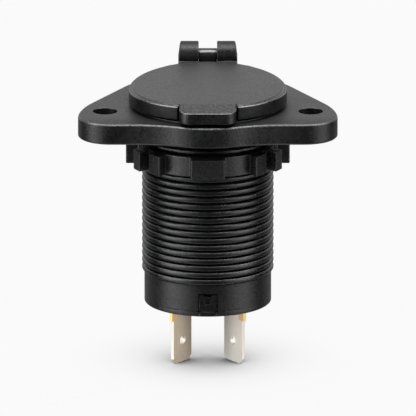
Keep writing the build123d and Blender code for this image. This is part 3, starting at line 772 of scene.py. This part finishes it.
def ridge_tree():
    """Geometry nodes that roll a grid into a tube of rounded ridges."""
    tree = bpy.data.node_groups.new("rounded_ridges", "GeometryNodeTree")
    for label, kind, value in (
        ("Crest Radius", "NodeSocketFloat", crest_radius),
        ("Ridge Depth", "NodeSocketFloat", ridge_depth),
        ("Pitch", "NodeSocketFloat", ridge_pitch),
        ("Ridges", "NodeSocketInt", ridge_count),
        ("Rows per Ridge", "NodeSocketInt", rows_per_ridge),
        ("Segments", "NodeSocketInt", ridge_segments),
        ("Roundness", "NodeSocketFloat", ridge_roundness),
    ):
        socket = tree.interface.new_socket(label, in_out="INPUT", socket_type=kind)
        socket.default_value = value
    tree.interface.new_socket("Finish", in_out="INPUT", socket_type="NodeSocketMaterial")
    tree.interface.new_socket("Geometry", in_out="OUTPUT", socket_type="NodeSocketGeometry")
    source = tree.nodes.new("NodeGroupInput").outputs

    rows = maths(tree, "MULTIPLY", source["Ridges"], source["Rows per Ridge"])
    grid = add_node(tree, "GeometryNodeMeshGrid", Size_X=1.0, Size_Y=1.0)
    tree.links.new(maths(tree, "ADD", source["Segments"], 1.0), grid.inputs["Vertices X"])
    tree.links.new(maths(tree, "ADD", rows, 1.0), grid.inputs["Vertices Y"])

    place = tree.nodes.new("GeometryNodeInputPosition").outputs[0]
    flat = add_node(tree, "ShaderNodeSeparateXYZ", Vector=place).outputs
    turn = product(tree, maths(tree, "ADD", flat["X"], 0.5), 2 * pi)
    row = product(tree, maths(tree, "ADD", flat["Y"], 0.5), source["Ridges"])
    height = product(tree, row, source["Pitch"], -1.0)
    # The small addition keeps rounding from putting a ridge's first row in the one before
    share = maths(tree, "FRACT", maths(tree, "ADD", row, 0.0005))
    off_crest = maths(tree, "SUBTRACT", product(tree, share, 2.0), 1.0)
    off_crest = maths(tree, "ABSOLUTE", off_crest)
    drop = maths(tree, "POWER", off_crest, source["Roundness"])
    drop = product(tree, drop, source["Ridge Depth"])
    radius = maths(tree, "SUBTRACT", source["Crest Radius"], drop)
    rolled = add_node(
        tree, "ShaderNodeCombineXYZ",
        X=product(tree, radius, maths(tree, "COSINE", turn)),
        Y=product(tree, radius, maths(tree, "SINE", turn)),
        Z=height,
    )

    moved = add_node(
        tree, "GeometryNodeSetPosition",
        Geometry=grid.outputs["Mesh"], Position=rolled.outputs[0],
    )
    joined = add_node(
        tree, "GeometryNodeMergeByDistance", Geometry=moved.outputs[0], Distance=merge_distance
    )
    real = add_node(tree, "GeometryNodeRealizeInstances", Geometry=joined.outputs[0])
    finish = add_node(
        tree, "GeometryNodeSetMaterial", Geometry=real.outputs[0], Material=source["Finish"]
    )
    add_node(tree, "NodeGroupOutput", Geometry=finish.outputs[0])
    return tree


def set_input(modifier, label, value):
    """Fills a geometry modifier's input, found by its label, through its identifier."""
    for item in modifier.node_group.interface.items_tree:
        if item.item_type == "SOCKET" and item.in_out == "INPUT" and item.name == label:
            modifier[item.identifier] = value
            return
    raise KeyError(label)


def make_ridges(name):
    """Object whose mesh is the ridged tube."""
    piece = new_piece(name)
    roll = piece.modifiers.new("ridges", "NODES")
    roll.node_group = ridge_tree()
    set_input(roll, "Finish", finishes["moulded_black"])
    return keep_as_mesh(piece)


def cut(piece, cutter):
    """Takes the cutter's volume out of the piece."""
    away = piece.modifiers.new("cut", "BOOLEAN")
    away.operation = "DIFFERENCE"
    away.solver = "EXACT"
    away.object = cutter
    keep_as_mesh(piece)
    bpy.data.objects.remove(cutter)


def prism(name, outline, low_y, high_y):
    """Closed prism along Y with that outline in X and Z."""
    piece = new_piece(name)
    bm = bmesh.new()
    near = [bm.verts.new((x, low_y, z)) for x, z in outline]
    far = [bm.verts.new((x, high_y, z)) for x, z in outline]
    bm.faces.new(near)
    bm.faces.new(far)
    for k in range(len(outline)):
        n = (k + 1) % len(outline)
        bm.faces.new((near[k], near[n], far[n], far[k]))
    bmesh.ops.recalc_face_normals(bm, faces=bm.faces)
    bm.to_mesh(piece.data)
    bm.free()
    return piece


def window_cutter():
    """Prism that cuts the two latch windows, open at the collar's foot and flared there."""
    half, wide = window_half_width, window_half_width + window_flare
    below = collar_foot - window_cutter_overhang
    flare_end = collar_foot + window_flare
    window_top = collar_foot + window_height
    outline = [
        (-wide, below), (-wide, collar_foot), (-half, flare_end), (-half, window_top),
        (half, window_top), (half, flare_end), (wide, collar_foot), (wide, below),
    ]
    return prism("window_cutter", outline, -window_cutter_reach, window_cutter_reach)


def make_barrel():
    """Moulded barrel: head flange, ridges, collar with two latch windows, bore inside."""
    tube = make_ridges("barrel_ridges")
    bm = bmesh.new()
    bm.from_mesh(tube.data)
    bpy.data.objects.remove(tube)
    valley = crest_radius - ridge_depth
    profile = [
        (valley, 0), (crest_radius, 0), (crest_radius, head_foot), (head_radius, head_foot),
        (head_radius, head_top - head_round_down),
        (head_radius - head_round_middle, head_top - head_round_middle),
        (head_radius - head_round_in, head_top), (lip_seat_radius, head_top),
        (lip_seat_radius, lip_seat), (bore_radius, lip_seat), (bore_radius, bore_foot),
        (shelf_radius, bore_foot), (shelf_radius, shelf_foot),
        (collar_bore_radius, shelf_foot), (collar_bore_radius, collar_foot),
        (collar_radius - foot_chamfer, collar_foot),
        (collar_radius, collar_foot + foot_chamfer),
        (collar_radius, collar_top), (valley, collar_top),
    ]
    lathe(bm, profile, ridge_segments)
    bmesh.ops.remove_doubles(bm, verts=bm.verts, dist=barrel_merge_distance)
    bmesh.ops.recalc_face_normals(bm, faces=bm.faces)
    barrel = new_piece("ridged_barrel")
    bm.to_mesh(barrel.data)
    bm.free()
    cut(barrel, window_cutter())
    dress(barrel, "housing", "moulded_black", "socket_body", sharp=barrel_sharp_degrees)


aim_camera()
light_studio()
lay_floor()
make_barrel()

plate = merged_copy("mounting_plate", "flange_plate")
set_half_width(plate, knuckle_half_width, knuckle_corner)
dress(round_edges(plate, plate_edge), "housing", "moulded_black", "mounting_plate")

nut = merged_copy("ring_nut", "clamp_nut")
nut = round_edges(nut, nut_edge, nut_upright_edge, upright)
dress(nut, "nut_body", "moulded_black", "ring_nut")

lid = merged_copy("lid", "dust_lid")
lid = round_edges(lid, lid_edge, lid_brim_edge, lid_brim)
dress(lid, "lid_body", "moulded_black", "lid")

cap = merged_copy("terminal_base", "terminal_cap")
set_half_width(cap, tongue_half_width, tongue_corner)
dress(round_edges(cap, base_edge), "housing", "moulded_black", "terminal_base")

for node, name in (
    ("positive_terminal", "positive_blade"),
    ("negative_terminal", "negative_blade"),
):
    blade = round_edges(merged_copy(node, name), blade_edge)
    dress(blade, "housing", "plated_terminal", node)

rod = round_edges(merged_copy("hinge_pin", "hinge_rod"), pin_edge)
dress(rod, "lid_body", "pin_steel", "hinge_pin")

# Solids that stay, with their finishes
for node, slot in (
    ("head_gasket", "seal_rubber"), ("lid_seal", "seal_rubber"),
    ("contact_sleeve", "plated_steel"), ("spring_washer", "plated_steel"),
    ("insulator_cup", "insulator_brown"), ("insulator_washer", "insulator_brown"),
    ("centre_contact", "contact_brass"), ("contact_rivet", "contact_brass"),
    ("negative_rivet", "contact_brass"),
):
    for material_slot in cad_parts[node].material_slots:
        material_slot.material = finishes[slot]
